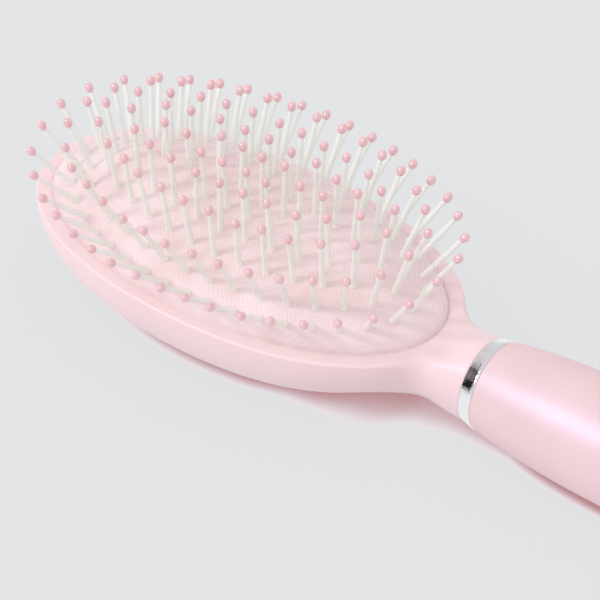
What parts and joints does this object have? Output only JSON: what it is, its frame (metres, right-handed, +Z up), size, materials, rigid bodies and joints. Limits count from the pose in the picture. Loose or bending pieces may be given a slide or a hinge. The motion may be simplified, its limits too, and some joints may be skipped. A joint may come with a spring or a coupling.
{
  "type": "oval cushion hairbrush",
  "caption": "Oval air-cushion hairbrush with ball-tipped nylon pins set in a domed rubber pad, a boat-shaped head, a bright collar and a round handle.",
  "frame": {"origin": "on the flat of the back that the brush rests on, under the middle of the pad", "axes": "+X from the tip of the head to the end of the handle, +Y across the brush, +Z up through the pins"},
  "size_m": [0.2288, 0.076, 0.0478],
  "materials": {
    "head_abs": "glossy injection-moulded pale pink ABS",
    "pad_rubber": "soft pale pink rubber with a fine cloth-like grid",
    "pin_nylon": "milky translucent moulded nylon",
    "tip_resin": "glossy rose pink ball tips",
    "collar_chrome": "bright metallised ring",
    "handle_abs": "glossy pearl pink ABS"
  },
  "bodies": {
    "brush": {"head_shell": "head_abs", "cushion_pad": "pad_rubber", "collar": "collar_chrome", "handle": "handle_abs"},
    "oval_1_pins": {"pins_oval_1": "pin_nylon", "ball_tips_oval_1": "tip_resin"},
    "oval_2_pins": {"pins_oval_2": "pin_nylon", "ball_tips_oval_2": "tip_resin"},
    "oval_3_pins": {"pins_oval_3": "pin_nylon", "ball_tips_oval_3": "tip_resin"},
    "oval_4_pins": {"pins_oval_4": "pin_nylon", "ball_tips_oval_4": "tip_resin"},
    "middle_pins": {"pins_middle": "pin_nylon", "ball_tips_middle": "tip_resin"}
  },
  "joints": [
    {"name": "press_middle", "type": "slide", "parent": "brush", "child": "middle_pins", "axis": [0, 0, -1], "range_m": [0, 0.0044], "stiffness_N_per_m": 500, "deforming": ["cushion_pad"]},
    {"name": "press_oval_1", "type": "slide", "parent": "brush", "child": "oval_1_pins", "axis": [0, 0, -1], "range_m": [0, 0.00162], "stiffness_N_per_m": 500, "deforming": ["cushion_pad"]},
    {"name": "press_oval_2", "type": "slide", "parent": "brush", "child": "oval_2_pins", "axis": [0, 0, -1], "range_m": [0, 0.00267], "stiffness_N_per_m": 500, "deforming": ["cushion_pad"]},
    {"name": "press_oval_3", "type": "slide", "parent": "brush", "child": "oval_3_pins", "axis": [0, 0, -1], "range_m": [0, 0.00362], "stiffness_N_per_m": 500, "deforming": ["cushion_pad"]},
    {"name": "press_oval_4", "type": "slide", "parent": "brush", "child": "oval_4_pins", "axis": [0, 0, -1], "range_m": [0, 0.00417], "stiffness_N_per_m": 500, "deforming": ["cushion_pad"]}
  ],
  "couplings": [
    {"joint": "press_oval_1", "follows": "press_middle", "ratio": 0.36909},
    {"joint": "press_oval_2", "follows": "press_middle", "ratio": 0.6068},
    {"joint": "press_oval_3", "follows": "press_middle", "ratio": 0.8218},
    {"joint": "press_oval_4", "follows": "press_middle", "ratio": 0.9484}
  ]
}
